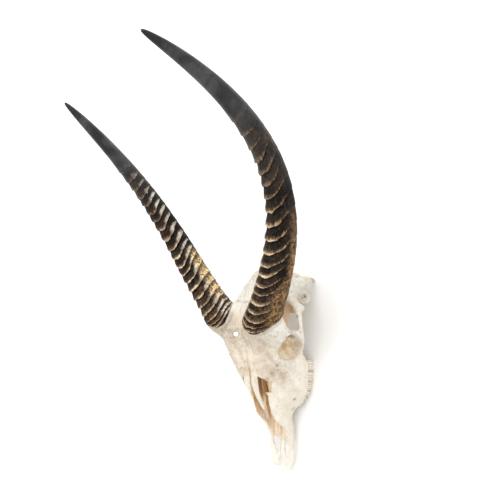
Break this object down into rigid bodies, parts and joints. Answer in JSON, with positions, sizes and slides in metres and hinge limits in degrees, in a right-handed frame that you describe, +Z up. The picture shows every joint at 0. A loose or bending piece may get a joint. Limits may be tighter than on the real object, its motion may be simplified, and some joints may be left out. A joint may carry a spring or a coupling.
{
  "type": "waterbuck skull with horns",
  "caption": "Dried antelope skull without its lower jaw, with long ringed horns that sweep back, out and then up to smooth inward-turned tips; stands on its cheek teeth.",
  "frame": {"origin": "middle of the object's bounding box, on the plane of the worn tooth faces it stands on", "axes": "+Z up from the teeth to the brow, +Y from the muzzle to the back of the head, +X to the animal's left"},
  "size_m": [0.3556, 0.5942, 0.4886],
  "materials": {
    "bone": "dry porous bone, matt",
    "keratin": "ridged horn, satin, smoother towards the tips",
    "enamel": "worn tooth enamel, slightly glossy"
  },
  "bodies": {
    "root": {"skull": "bone", "horn_left": "keratin", "horn_right": "keratin", "premolar_2_left": "enamel", "premolar_2_right": "enamel", "premolar_3_left": "enamel", "premolar_3_right": "enamel", "premolar_4_left": "enamel", "premolar_4_right": "enamel", "molar_1_left": "enamel", "molar_1_right": "enamel", "molar_2_left": "enamel", "molar_2_right": "enamel", "molar_3_left": "enamel", "molar_3_right": "enamel"}
  },
  "joints": []
}
